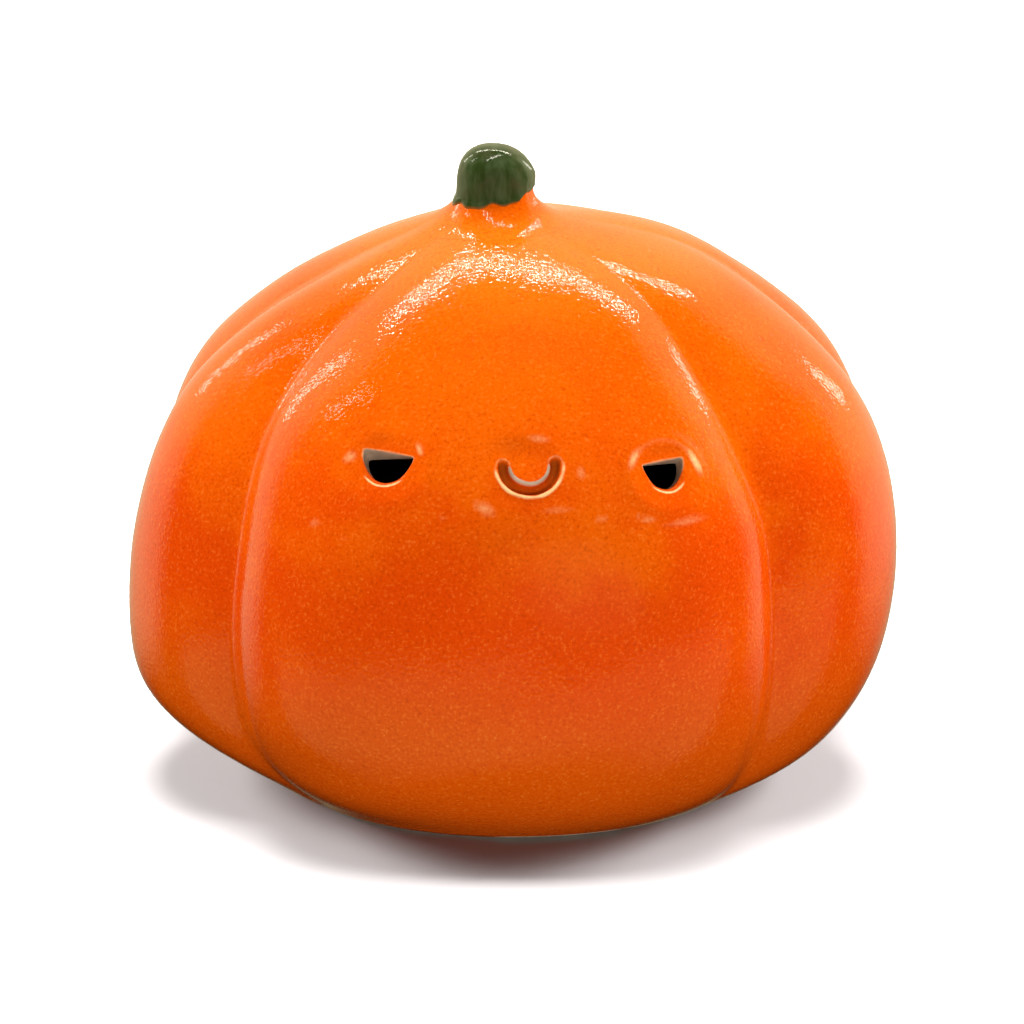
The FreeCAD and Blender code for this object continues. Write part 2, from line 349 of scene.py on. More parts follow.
def finerRing(corners, factor):
    # the closed outline with each side cut into equal lengths
    share = (np.arange(factor) / factor)[:, None]
    onward = np.roll(corners, -1, axis=0)
    return (corners[:, None] * (1 - share) + onward[:, None] * share).reshape(-1, corners.shape[1])


def patchBorder(place, azimuths, climbs):
    # the rectangle of the body's grid around a feature, and its border, anticlockwise from the lower left
    perMm = 180 / np.pi / np.linalg.norm(place["centre"][:2])
    half = place["patch"][0] * perMm, place["patch"][1]
    column = int(np.argmin(np.abs(azimuths - place["azimuth"])))
    row = int(np.argmin(np.abs(climbs - place["climb"])))
    wide = int(round(half[0] / (azimuths[1] - azimuths[0])))
    tall = int(round(half[1] / body["rowStep"]))
    left, right, low, high = column - wide, column + wide, row - tall, row + tall
    border = ([(low, c) for c in range(left, right)] + [(r, right) for r in range(low, high)]
              + [(high, c) for c in range(right, left, -1)] + [(r, left) for r in range(high, low, -1)])
    return (low, high, left, right), np.array(border)


def curvedBack(place, flat, near, hollow=False):
    # azimuth and climb of points given flat, in a feature's own plane
    return findOnSkin(lambda points: localTo(place, points), flat, near[:, 0], near[:, 1], hollow)


def growEye(clay, eye, outerIds, innerIds, azimuths, climbs, border):
    # rings from the body's grid in to the hole, through the wall, and out again on the hollow's skin
    place = eye["place"]
    near = np.stack([azimuths[border[:, 1]], climbs[border[:, 0]]], 1)
    tracks = {}
    for hollow in (False, True):
        edge = localTo(place, bodySkin(near[:, 0], near[:, 1], hollow))
        tracks[hollow] = finerRing(edge, 4), finerRing(near, 4)
    angle = np.arctan2(tracks[False][0][:, 1], tracks[False][0][:, 0])
    radius = halfMoonRadius(eye, angle)
    rim = np.stack([radius * np.cos(angle), radius * np.sin(angle)], 1)
    lip = eyeCut["lipTop"] + (eyeCut["lipLow"] - eyeCut["lipTop"]) * smooth(0.25, -0.7, np.sin(angle))
    previous = outerIds[border[:, 0], border[:, 1]]
    reach = np.linspace(1, 0, eyeCut["rings"])[1:]
    for order, share in enumerate((np.exp(3.6 * reach) - 1) / (np.exp(3.6) - 1)):
        edge, start = tracks[False]
        flat = rim + (edge - rim) * share
        guess = start * share + np.array([place["azimuth"], place["climb"]]) * (1 - share)
        azimuth, climb = curvedBack(place, flat, guess)
        away = np.linalg.norm(flat - rim, axis=1)
        inside = np.clip(1 - away / lip, 0, 1)
        sink = lip * (1 - np.sqrt(1 - inside ** 2 + 1e-9))
        points = claySkin(azimuth, climb) - place["outward"] * sink[:, None]
        bare = smooth(0.35, 0.0, away / lip) * smooth(0.1, 0.6, np.sin(angle) + 0.25 * np.abs(np.cos(angle)))
        # paler where the glaze thins at the hole's top edge
        thinGlazeAndHighlightMark = np.exp(-((away - 0.12) / 0.16) ** 2) * 0.42 * smooth(-0.1, 0.5, np.sin(angle))
        turnIn = np.linalg.norm(flat / np.array(eye["dimpleSize"]), axis=1)
        upper = smooth(-0.5, 0.4, np.sin(angle) + 0.3 * np.cos(angle) * np.sign(place["centre"][0]))
        # painted highlight on the upper side of the dimple's raised ring, where the glaze also thins
        thinGlazeAndHighlightMark = thinGlazeAndHighlightMark + eye["pale"] * np.exp(-((turnIn - 1.04) / 0.13) ** 2) * upper
        # painted highlight along the lower lip, just outside the hole's bottom
        thinGlazeAndHighlightMark = thinGlazeAndHighlightMark + 0.95 * np.exp(-((away - 0.64) / 0.14) ** 2) * smooth(-0.3, -0.8, np.sin(angle))
        # painted highlights and painted shade near the face
        spots = paintedFaceLightMarks(points)
        stride = 2 if order == 0 else 1
        ids = clay.add(points[::stride], bare=bare[::stride], edge=(thinGlazeAndHighlightMark + spots["edge"])[::stride],
                       pool=spots["pool"][::stride])
        clay.step(previous, ids)
        previous, rimPoints = ids, points
    edge, start = tracks[True]
    turn = math.radians(eye["turn"])
    rim = rim @ np.array([[math.cos(turn), math.sin(turn)], [-math.sin(turn), math.cos(turn)]])
    rim = rim * 0.96 + np.array(eye["slide"])
    guess = np.repeat(np.array([[place["azimuth"], place["climb"]]]), len(rim), axis=0)
    azimuth, climb = curvedBack(place, rim, guess, True)
    innerRim = bodySkin(azimuth, climb, True)
    for share in np.linspace(0, 1, eyeCut["wallRings"])[1:]:
        glazed = 0.10 + 0.14 * smooth(0.2, -0.8, np.sin(angle))
        ids = clay.add(rimPoints * (1 - share) + innerRim * share, bare=smooth(glazed - 0.08, glazed, share),
                       edge=0.25 * smooth(0.3, 0.1, share))
        clay.step(previous, ids)
        previous = ids
    for order, share in enumerate((0.03, 0.1, 0.22, 0.4, 0.6, 0.8)):
        flat = rim + (edge - rim) * share
        guess = start * share + np.array([place["azimuth"], place["climb"]]) * (1 - share)
        azimuth, climb = curvedBack(place, flat, guess, True)
        points = bodySkin(azimuth, climb, True)
        ids = clay.add(points[::2] if order == 5 else points, bare=1.0)
        clay.step(previous, ids)
        previous = ids
    clay.step(previous, innerIds[border[:, 0], border[:, 1]])


def growMouth(clay, outerIds, azimuths, climbs, border):
    # circles about the pressed tube's axis, from the body's grid in to the middle
    place = mouth["place"]
    near = np.stack([azimuths[border[:, 1]], climbs[border[:, 0]]], 1)
    edge = finerRing(localTo(place, bodySkin(near[:, 0], near[:, 1])), 4)
    start = finerRing(near, 4)
    angle = np.arctan2(edge[:, 1], edge[:, 0])
    spoke = np.stack([np.cos(angle), np.sin(angle)], 1)
    previous = outerIds[border[:, 0], border[:, 1]]
    circles = [(share, mouth["reach"]) for share in (0.75, 0.5, 0.25)]
    circles += [(0.0, radius) for radius in np.arange(mouth["reach"], 0.2, -mouth["ringStep"])]
    for order, (share, radius) in enumerate(circles):
        flat = spoke * radius * (1 - share) + edge * share
        closeness = share + (1 - share) * radius / np.linalg.norm(edge, axis=1, keepdims=True)
        guess = start * closeness + np.array([place["azimuth"], place["climb"]]) * (1 - closeness)
        azimuth, climb = curvedBack(place, flat, guess)
        rise = np.maximum(flat[:, 1] - mouth["rise"], 0)
        across = np.hypot(np.hypot(flat[:, 0], np.minimum(flat[:, 1], 0)) - mouth["radius"], rise)
        acrossOut = np.hypot(flat[:, 0], np.minimum(flat[:, 1], 0)) - mouth["radius"]
        shallow = 0.75 + 0.25 * smooth(0.4, -2.5, flat[:, 1])
        sink = mouth["depth"] * shallow * smooth(1.22 * mouth["groove"], 0.35 * mouth["groove"], across)
        below = smooth(0.6, -1.2, flat[:, 1])
        burr = mouth["burr"] * np.exp(-((across - 1.05) / 0.24) ** 2) * (acrossOut > 0)
        burr = burr * (0.35 + 0.65 * below)
        press = smooth(-2.8, 1.2, flat[:, 1]) * smooth(1.35, 0.35, np.hypot(*flat.T) / mouth["radius"])
        lift = burr - sink - mouth["tip"] * press
        points = claySkin(azimuth, climb) + place["outward"] * lift[:, None]
        around = np.arctan2(flat[:, 1], flat[:, 0])
        patchy = 0.88 + 0.2 * np.sin(around * 5 + 0.6) + 0.14 * np.sin(around * 11 + 2)
        # thin glaze on the outer rim with a painted highlight, patchy, stronger below
        outerRimAndHighlight = np.exp(-((across - 1.0) / 0.24) ** 2) * (acrossOut > 0) * below * patchy
        innerEdge = np.exp(-((across - 0.78) / 0.32) ** 2) * (acrossOut <= 0) * smooth(1.2, -0.6, flat[:, 1])
        # painted highlights at the smile's two ends
        endHighlight = 0.35 * np.exp(-((across - 0.85) / 0.2) ** 2) * smooth(-0.4, 0.6, flat[:, 1])
        # the groove darkens towards its ends: pooled glaze and painted shade
        deep = 0.55 + 0.45 * smooth(-2.6, -0.6, flat[:, 1])
        # painted highlights and painted shade near the face
        spots = paintedFaceLightMarks(points)
        marks = {"pool": np.maximum(smooth(0.80, 0.35, across) * deep, spots["pool"]),
                 "edge": outerRimAndHighlight + endHighlight + spots["edge"], "bare": 0.72 * innerEdge}
        stride = 2 if order == 0 else 1
        ids = clay.add(points[::stride], **{name: values[::stride] for name, values in marks.items()})
        clay.step(previous, ids)
        previous = ids
    middle = clay.add(points.mean(0, keepdims=True))
    clay.fan(previous, middle[0])


def makeShell():
    # one run of closed rows: hollow from its crown down, ledge, bore, foot, outer skin up to the seat
    azimuths = -180 + 360 * np.arange(body["columns"]) / body["columns"]
    fine = np.linspace(0, 1, 800)
    steps = np.linalg.norm(np.diff(bodySkin(np.zeros(len(fine)), fine), axis=0), axis=1)
    lengths = np.append(0, np.cumsum(steps))
    evenly = np.linspace(0, 1, int(lengths[-1] / body["rowStep"]) + 1)
    climbs = np.interp(evenly, lengths / lengths[-1], fine)
    rows, columns = len(climbs), len(azimuths)
    everyAzimuth = np.tile(azimuths, rows)
    everyClimb = np.repeat(climbs, columns)
    outer = claySkin(everyAzimuth, everyClimb).reshape(rows, columns, 3)
    inner = bodySkin(everyAzimuth, everyClimb, True).reshape(rows, columns, 3)
    turn = np.radians(azimuths)
    ring = np.stack([np.sin(turn), -np.cos(turn), np.zeros(columns)], 1)
    bore = (discHigh.x - discLow.x) / 2 / mm
    wave = 0.05 * np.sin(turn * 5) + 0.04 * np.sin(turn * 11 + 1)

    def boreRow(radius, height):
        return ring * (radius + wave[:, None]) + np.array([0, 0, height])

    outer[0, :, 2] = 0.35
    footEdge = outer[0] * np.array([0.985, 0.985, 0.0])
    foot = [inner[0] * 0.5 + boreRow(bore, body["hollowFloor"]) * 0.5, boreRow(bore, body["hollowFloor"]),
            boreRow(bore, 3.0), boreRow(bore, 0.5), boreRow(bore + 0.12, 0.15), boreRow(bore + 0.5, 0.0),
            boreRow(bore + 0.5, 0.0) * 0.5 + footEdge * 0.5, footEdge]
    seatCentre = outer[-1].mean(0)
    topCentre = inner[-1].mean(0)
    clay = Clay()
    pole = clay.add(topCentre[None], bare=1.0)
    parts = [topCentre + (inner[-1] - topCentre) * 0.5, *inner[::-1], *foot]
    innerSide = [clay.add(row, bare=1.0) for row in parts]
    glazeLine = 0.35 + 0.14 * np.sin(turn * 3 + 1) + 0.09 * np.sin(turn * 8) + 0.06 * np.sin(turn * 17 + 2)
    outerSide = []
    for row in outer:
        bareFoot = smooth(glazeLine + 0.2, glazeLine, row[:, 2])
        lineMark = 0.12 * np.exp(-((row[:, 2] - glazeLine - 0.3) / 0.3) ** 2)
        # painted highlights and painted shade near the face
        spots = paintedFaceLightMarks(row)
        outerSide.append(clay.add(row, bare=bareFoot, edge=lineMark + spots["edge"], pool=spots["pool"]))
    outerSide.append(clay.add(seatCentre + (outer[-1] - seatCentre) * 0.5, bare=1.0))
    seatPole = clay.add(seatCentre[None], bare=1.0)
    ids = np.array(innerSide + outerSide)
    outerIds = ids[len(innerSide):len(innerSide) + rows]
    innerIds = ids[1:1 + rows][::-1]
    keep = np.ones((len(ids) - 1, columns), bool)
    borders = []
    for feature in eyes + [mouth]:
        (low, high, left, right), border = patchBorder(feature["place"], azimuths, climbs)
        keep[len(innerSide) + low:len(innerSide) + high, left:right] = False
        if feature is not mouth:
            keep[rows - high:rows - low, left:right] = False
        borders.append(border)
    clay.sheet(ids, keep)
    clay.fan(ids[0], pole[0], turned=True)
    clay.fan(ids[-1], seatPole[0])
    for eye, border in zip(eyes, borders):
        growEye(clay, eye, outerIds, innerIds, azimuths, climbs, border)
    growMouth(clay, outerIds, azimuths, climbs, borders[-1])
    return clay.piece("pumpkinShell", sharp=60)


# the stem and its collar share one trunk line, from the tip down to where it meets the body
trunk = {
    # control rings from the tip: height, radius, shift along X
    "rings": np.array([
        (82.65, 0.0, -0.35), (82.7, 1.3, -0.35), (82.2, 2.9, -0.2), (80.8, 4.3, 0.0), (79.0, 4.85, 0.1),
        (77.7, 4.8, 0.05), (76.6, 4.85, 0.05), (75.4, 5.3, 0.25)]),
    "footRadii": (8.0, 10.2),     # the last two control rings lie on the body's skin
    "columns": 160,
    "glazeThickness": 0.20,
    "edgeHeight": 75.95,          # where the green ends, on average
    "rootRadius": 4.45,
    "boreTop": 75.1,              # the collar's bore reaches up to here round the root
}
trunkCentre = np.array([(collarLow.x + collarHigh.x) / 2 / mm, (collarLow.y + collarHigh.y) / 2 / mm, 0.0])
seatHeight = collarLow.z / mm


def skinUnder(radius, angle):
    # height of the body's skin at a distance from the trunk's axis
    x, y = trunkCentre[0] + radius * np.sin(angle), trunkCentre[1] - radius * np.cos(angle)
    start = np.degrees(np.arctan2(x + 1.6, -y)), np.full(len(angle), 0.97)
    azimuth, climb = findOnSkin(lambda points: points[:, :2], np.stack([x, y], 1), *start)
    return claySkin(azimuth, climb)


def trunkPoints(angle, along):
    # point = sum over rings of spline weight(along) x ring point(angle), a row of points per place along
    rings = trunk["rings"]
    weights = splineWeights(along, len(rings) + 2)
    ring = np.stack([np.sin(angle), -np.cos(angle), np.zeros(len(angle))], 1)
    controls = [trunkCentre + ring * radius + np.array([shift, 0, height])
                for height, radius, shift in rings]
    controls += [skinUnder(radius, angle) + np.array([0, 0, 0.02]) for radius in trunk["footRadii"]]
    points = np.einsum("sr,rac->sac", weights, np.array(controls))
    height, turn = points[..., 2], angle[None, :]
    dent = 0.22 * np.exp(-((turn - 0.06) / 0.34) ** 4) * smooth(80.6, 79.0, height)
    bulge = 0.22 * np.exp(-((turn - 1.6) / 0.6) ** 2 - ((height - 79.3) / 1.2) ** 2)
    ridges = 0.06 * np.sin(turn * 9 + 0.7) * smooth(81.5, 78.5, height)
    ridges = ridges + 0.04 * np.sin(turn * 4 + 2 + height * 0.5)
    swell = (bulge - dent + ridges) * smooth(74.6, 76.6, height)
    return points + ring[None] * swell[..., None]


def greenEdge(angle):
    # height of the wavy lower edge of the green: it climbs towards +X and hangs in drips
    drips = 0.20 * np.cos(7 * (angle + 0.09)) + 0.10 * np.cos(13 * angle + 1)
    return (trunk["edgeHeight"] + 0.6 * np.sin(angle) + drips * smooth(-0.1, 0.5, np.cos(angle))
            + 0.9 * smooth(0.6, 1.0, np.sin(angle)))


def alongAt(height):
    fine = np.linspace(0, 1, 400)
    profile = trunkPoints(np.array([0.8]), fine)[:, 0, 2]
    return np.interp(-height, -profile, fine)


def trunkSheet(angle, starts, ends, shares):
    # rows of trunk points whose place along runs from starts to ends, each column at its own pace
    points = np.empty((len(shares), len(angle), 3))
    fine = np.linspace(0, 1, 300)
    lines = trunkPoints(angle, fine)
    for axis in range(3):
        for column in range(len(angle)):
            places = starts[column] + (ends[column] - starts[column]) * shares
            points[:, column, axis] = np.interp(places, fine, lines[:, column, axis])
    return points


def sheetNormals(points):
    across = np.roll(points, -1, axis=1) - np.roll(points, 1, axis=1)
    return unit(np.cross(across, np.gradient(points, axis=0)))


def makeStem():
    angle = np.linspace(-np.pi, np.pi, trunk["columns"], endpoint=False)
    ring = np.stack([np.sin(angle), -np.cos(angle), np.zeros(len(angle))], 1)
    ends = alongAt(greenEdge(angle))
    shares = 1 - (1 - np.linspace(0.012, 1, 70)) ** 1.15
    points = trunkSheet(angle, np.zeros(len(angle)), ends, shares)
    normals = -sheetNormals(points)
    thick = trunk["glazeThickness"] * np.sqrt(np.clip(1 - smooth(0.955, 1.0, shares) ** 2, 0, 1))
    points = points + normals * (thick + 0.06 * np.exp(-((shares - 0.93) / 0.03) ** 2))[:, None, None]
    clay = Clay(("pool",))
    tip = clay.add(points[0].mean(0, keepdims=True) + np.array([0, 0, 0.01]))
    rows = [clay.add(row, pool=share ** 3) for row, share in zip(points[::-1], shares[::-1])]
    root = trunk["rootRadius"]
    under = [trunkCentre + ring * radius + np.array([0, 0, 1]) * height
             for radius, height in ((root, trunk["boreTop"] - 0.3), (root, seatHeight + 0.2),
                                    (root - 0.2, seatHeight))]
    low = [clay.add(row) for row in under[::-1]]
    clay.sheet(np.array(low + rows))
    base = clay.add((trunkCentre + np.array([0, 0, seatHeight]))[None])
    clay.fan(low[0], base[0], turned=True)
    clay.fan(rows[-1], tip[0])
    return clay.piece("glazedStem", sharp=70)


def makeCollar():
    angle = np.linspace(-np.pi, np.pi, trunk["columns"], endpoint=False)
    ring = np.stack([np.sin(angle), -np.cos(angle), np.zeros(len(angle))], 1)
    starts = alongAt(greenEdge(angle) + 0.45)
    shares = np.linspace(0, 1, 46) ** 0.9
    points = trunkSheet(angle, starts, np.ones(len(angle)), shares)
    points[0] = points[0] * 0.98 + (trunkCentre + points[0] * np.array([0, 0, 1])) * 0.02
    under = skinUnder(np.full(len(angle), trunk["footRadii"][1] - 0.4), angle) - np.array([0, 0, 0.35])
    within = skinUnder(np.full(len(angle), trunk["footRadii"][0]), angle) - np.array([0, 0, 0.35])
    bore = trunk["rootRadius"] + 0.06
    inside = [within, trunkCentre + ring * 6.4 + np.array([0, 0, seatHeight + 0.02]),
              trunkCentre + ring * bore + np.array([0, 0, seatHeight + 0.02]),
              trunkCentre + ring * bore + np.array([0, 0, trunk["boreTop"]])]
    clay = Clay()
    rows = [clay.add(row, edge=0.35 * math.exp(-(order / 6) ** 2)) for order, row in enumerate(points)]
    rows += [clay.add(row) for row in [under] + inside]
    ids = np.array(rows)[::-1]
    clay.sheet(np.vstack([ids, ids[:1]]))
    return clay.piece("stemCollar", sharp=70)


# the closing slab and the coil round it, seen from below
foot = {"columns": 180, "unevenness": 0.05, "coilWidth": 1.7, "thumbMarks": 23}


def makeDisc():
    angle = np.linspace(-np.pi, np.pi, foot["columns"], endpoint=False)
    ring = np.stack([np.sin(angle), -np.cos(angle), np.zeros(len(angle))], 1)
    radius = (discHigh.x - discLow.x) / 2 / mm - 0.06
    low, high = discLow.z / mm, discHigh.z / mm
    clay = Clay()

    def row(share, height, rough):
        points = ring * radius * share
        lift = rough * foot["unevenness"] * (np.sin(points[:, 0] * 0.35 + 1) + np.sin(points[:, 1] * 0.5)
                                             + 0.6 * np.sin(points[:, 0] * 0.9 - points[:, 1] * 0.7))
        return clay.add(points + np.stack([0 * lift, 0 * lift, height + lift], 1), bare=1.0)

    shares = np.linspace(0.06, 0.985, 26)
    rows = [row(share, low + 0.08, 1) for share in shares]
    rows += [row(1.0, low + 0.3, 0), row(1.0, high - 0.2, 0)]
    rows += [row(share, high - 0.02, 0) for share in (0.99, 0.6, 0.1)]
    bottom = clay.add(np.array([[0, 0, low + 0.14]]), bare=1.0)
    top = clay.add(np.array([[0, 0, high - 0.02]]), bare=1.0)
    clay.sheet(np.array(rows))
    clay.fan(rows[0], bottom[0], turned=True)
    clay.fan(rows[-1], top[0])
    return clay.piece("baseDisc")


def makeCoil():
    angle = np.linspace(-np.pi, np.pi, foot["columns"] * 2, endpoint=False)
    ring = np.stack([np.sin(angle), -np.cos(angle), np.zeros(len(angle))], 1)
    outside, top = (coilHigh.x - coilLow.x) / 2 / mm - 0.03, coilHigh.z / mm - 0.03
    tall = (coilHigh.z - coilLow.z) / mm - 0.05
    thumb = 1 - 0.16 * np.abs(np.sin(angle * foot["thumbMarks"] / 2)) ** 3 - 0.05 * np.sin(angle * 7)
    clay = Clay()
    rows = []
    for share in np.linspace(0, 1, 12):
        # concave quarter: from the foot ring's side round to the disc's underside
        inward = foot["coilWidth"] * (1 - math.cos(share * math.pi / 2))
        drop = tall * (1 - math.sin(share * math.pi / 2))
        points = ring * (outside - inward * thumb)[:, None]
        points[:, 2] = top - drop * thumb
        rows.append(clay.add(points, bare=1.0))
    corner = clay.add(ring * outside + np.array([0, 0, top]), bare=1.0)
    ids = np.array([corner] + rows[::-1] + [corner])
    clay.sheet(ids)
    return clay.piece("baseSeamCoil")


shell = makeShell()
stem = makeStem()
collar = makeCollar()
disc = makeDisc()
coil = makeCoil()
print("pieces built")


class Wire:
    # one output socket of a node tree, with Python's operators as Math nodes
    def __init__(self, tree, output=None):
        self.tree, self.output = tree, output

    def node(self, kind, settings=None, values=None, out=0):
        made = self.tree.nodes.new(kind)
        for name, value in (settings or {}).items():
            setattr(made, name, value)
        for name, value in (values or {}).items():
            if isinstance(value, Wire):
                self.tree.links.new(value.output, made.inputs[name])
            else:
                made.inputs[name].default_value = value
        return Wire(self.tree, made.outputs[out] if made.outputs else None)

    def math(self, operation, first, second=0.0):
        return self.node("ShaderNodeMath", {"operation": operation}, {0: first, 1: second})

    def __add__(self, other):
        return self.math("ADD", self, other)

    def __radd__(self, other):
        return self.math("ADD", other, self)

    def __sub__(self, other):
        return self.math("SUBTRACT", self, other)

    def __rsub__(self, other):
        return self.math("SUBTRACT", other, self)

    def __mul__(self, other):
        return self.math("MULTIPLY", self, other)

    def __rmul__(self, other):
        return self.math("MULTIPLY", other, self)

    def between(self, low, high):
        # smooth step from 0 at low to 1 at high
        settings = {"interpolation_type": "SMOOTHSTEP"}
        return self.node("ShaderNodeMapRange", settings, {0: self, 1: low, 2: high, 3: 0.0, 4: 1.0})

    def blend(self, first, second):
        # colour mixed from first to second by this value
        return self.node("ShaderNodeMix", {"data_type": "RGBA"}, {0: self, 6: first, 7: second}, 2)

    def noise(self, places, size, detail=2.0, roughness=0.5):
        # noise whose blotches are about this many millimetres across
        values = {"Vector": places, "Scale": 1 / (size * mm), "Detail": detail, "Roughness": roughness}
        return self.node("ShaderNodeTexNoise", None, values)

    def cells(self, places, size):
        # distance to the nearest of scattered points, in cells of this many millimetres
        values = {"Vector": places, "Scale": 1 / (size * mm)}
        return self.node("ShaderNodeTexVoronoi", {"feature": "F1"}, values)


def newMaterial(name):
    made = bpy.data.materials.new(name)
    made.use_nodes = True
    made.node_tree.nodes.clear()
    tree = Wire(made.node_tree)
    return made, tree, tree.node("ShaderNodeTexCoord", out="Object")


def bumpFrom(tree, relief, tall):
    # the relief's 0 to 1 stands this many millimetres tall
    return tree.node("ShaderNodeBump", None, {"Strength": 1.0, "Distance": tall * mm, "Height": relief})


def finishMaterial(tree, values):
    surface = tree.node("ShaderNodeBsdfPrincipled", None, values)
    tree.node("ShaderNodeOutputMaterial", None, {"Surface": surface})


def colour(red, green, blue):
    return (red, green, blue, 1.0)


orangeGlaze = {
    # crown: a painted sheen on the top; bright against deep: the glaze's own blotches and painted top light
    "crown": colour(0.88, 0.165, 0.004), "bright": colour(0.84, 0.112, 0.0005),
    # low: painted shade and painted floor reflection
    "deep": colour(0.76, 0.060, 0.0003), "low": colour(0.70, 0.086, 0.0008),
    # thin: glaze thinning and painted highlights; pooled: glaze pooling and painted shade
    "thin": colour(0.96, 0.58, 0.24), "pooledAndShade": colour(0.40, 0.065, 0.004),
    "pit": colour(0.50, 0.040, 0.001), "speck": colour(1.0, 0.30, 0.04),
    "blotch": 13.0, "grain": 0.42, "peel": 0.42, "relief": 0.07, "ior": 1.45,     # sizes in millimetres
}
greenGlaze = {
    "thick": colour(0.026, 0.044, 0.008), "thin": colour(0.062, 0.086, 0.032),
    "brown": colour(0.066, 0.058, 0.022), "rim": colour(0.30, 0.085, 0.015),
    "peel": 0.8, "relief": 0.02, "ior": 1.5,
}
bareClay = {
    "light": colour(0.60, 0.45, 0.31), "dark": colour(0.40, 0.28, 0.18), "iron": colour(0.20, 0.11, 0.06),
    "relief": 0.08,
}


def clayColour(tree, places):
    mottled = tree.noise(places, 3.0, 4.0, 0.6).between(0.3, 0.7).blend(bareClay["dark"], bareClay["light"])
    iron = 1 - tree.cells(places, 0.9).between(0.05, 0.16)
    return (iron * 0.6).blend(mottled, bareClay["iron"])


def makeOrangeGlaze():
    # bright orange over deeper blotches with painted top light, a painted sheen on the crown, painted shade
    # and floor reflection low down; paler where it breaks over an edge and in painted highlights, brown
    # where it pools and in painted shade
    made, tree, places = newMaterial("orangeGlaze")
    height = tree.node("ShaderNodeSeparateXYZ", None, {0: places}, out=2) * (1 / mm)
    bare = tree.node("ShaderNodeAttribute", {"attribute_name": "bare"}, out="Fac")
    edge = tree.node("ShaderNodeAttribute", {"attribute_name": "edge"}, out="Fac")
    pool = tree.node("ShaderNodeAttribute", {"attribute_name": "pool"}, out="Fac")
    blotch = tree.noise(places, orangeGlaze["blotch"], 3.0, 0.6)
    cloud = tree.noise(places, orangeGlaze["blotch"] * 3.2, 2.0, 0.5)
    grain = tree.noise(places, orangeGlaze["grain"], 2.0, 0.6)
    lift = height + (cloud - 0.5) * 26.0
    # painted top light: the glaze turns lighter upward from about 34 mm, on top of its own blotches
    high = lift.between(34.0, 60.0)
    blotchAndTopLight = (blotch.between(0.34, 0.70) * 0.55 + high * 0.75).between(0.15, 1.05)
    base = blotchAndTopLight.blend(orangeGlaze["deep"], orangeGlaze["bright"])
    # low: painted shade and painted floor reflection on the lower belly
    base = (1 - lift.between(14.0, 34.0)).blend(base, orangeGlaze["low"])
    # crown: painted sheen of the overhead light on the top, fading near the seat
    base = (height.between(65.0, 71.5) * (1 - height.between(73.0, 75.5))).blend(base, orangeGlaze["crown"])
    base = (grain.between(0.52, 0.78) * 0.30).blend(base, orangeGlaze["speck"])
    base = ((1 - grain.between(0.26, 0.48)) * 0.50).blend(base, orangeGlaze["pit"])
    dots = tree.cells(places, 1.7)
    rare = tree.noise(places, 2.3, 0.0, 0.5).between(0.50, 0.56)
    base = ((1 - dots.between(0.035, 0.07)) * rare * 0.6).blend(base, orangeGlaze["speck"])
    # paler where the glaze thins at edges and the foot line, and painted highlights on the face's rims, lips
    # and patches
    thinGlazeAndHighlight = (edge * (0.7 + 0.6 * grain)).between(0.1, 0.85)
    base = thinGlazeAndHighlight.blend(base, orangeGlaze["thin"])
    # brown where glaze pools in the smile's groove, plus painted shade there and in the face's dents
    base = pool.blend(base, orangeGlaze["pooledAndShade"])
    base = bare.between(0.35, 0.65).blend(base, clayColour(tree, places))
    rough = 0.045 + 0.035 * cloud.between(0.4, 0.7) + 0.50 * bare
    peel = tree.noise(places, orangeGlaze["peel"], 0.0, 0.5)
    dimples = tree.noise(places, orangeGlaze["peel"] * 2.4, 1.0, 0.5)
    ripple = tree.noise(places, 3.4, 2.0, 0.5)
    pits = 1 - tree.cells(places, 0.85).between(0.04, 0.20)
    relief = peel * 0.40 + dimples * 0.30 + ripple * 0.7 - pits * 0.32
    finishMaterial(tree, {"Base Color": base, "Roughness": rough, "IOR": orangeGlaze["ior"],
                          "Normal": bumpFrom(tree, relief, orangeGlaze["relief"])})
    return made


def makeGreenGlaze():
    made, tree, places = newMaterial("greenGlaze")
    streaks = tree.node("ShaderNodeMapping", None, {"Vector": places, "Scale": (1.0, 1.0, 0.22)})
    flow = tree.noise(streaks, 1.5, 3.0, 0.6)
    spots = tree.noise(places, 0.5, 2.0, 0.6)
    base = flow.between(0.35, 0.70).blend(greenGlaze["thick"], greenGlaze["thin"])
    base = (tree.noise(places, 2.6, 2.0, 0.5).between(0.52, 0.72) * 0.6).blend(base, greenGlaze["brown"])
    base = (spots.between(0.55, 0.8) * 0.35).blend(base, greenGlaze["thin"])
    rim = tree.node("ShaderNodeAttribute", {"attribute_name": "pool"}, out="Fac").between(0.90, 1.0)
    base = (rim * 0.8).blend(base, greenGlaze["rim"])
    peel = tree.noise(places, greenGlaze["peel"], 2.0, 0.5)
    rough = 0.07 + 0.06 * spots
    finishMaterial(tree, {"Base Color": base, "Roughness": rough, "IOR": greenGlaze["ior"],
                          "Normal": bumpFrom(tree, peel + flow * 2.0, greenGlaze["relief"])})
    return made


def makeBareClay():
    made, tree, places = newMaterial("bareClay")
    grit = tree.noise(places, 0.6, 4.0, 0.65)
    cloth = tree.noise(places, 0.25, 1.0, 0.5)
    rough = 0.78 + 0.14 * grit
    finishMaterial(tree, {"Base Color": clayColour(tree, places), "Roughness": rough,
                          "Normal": bumpFrom(tree, grit + cloth * 0.4, bareClay["relief"])})
    return made


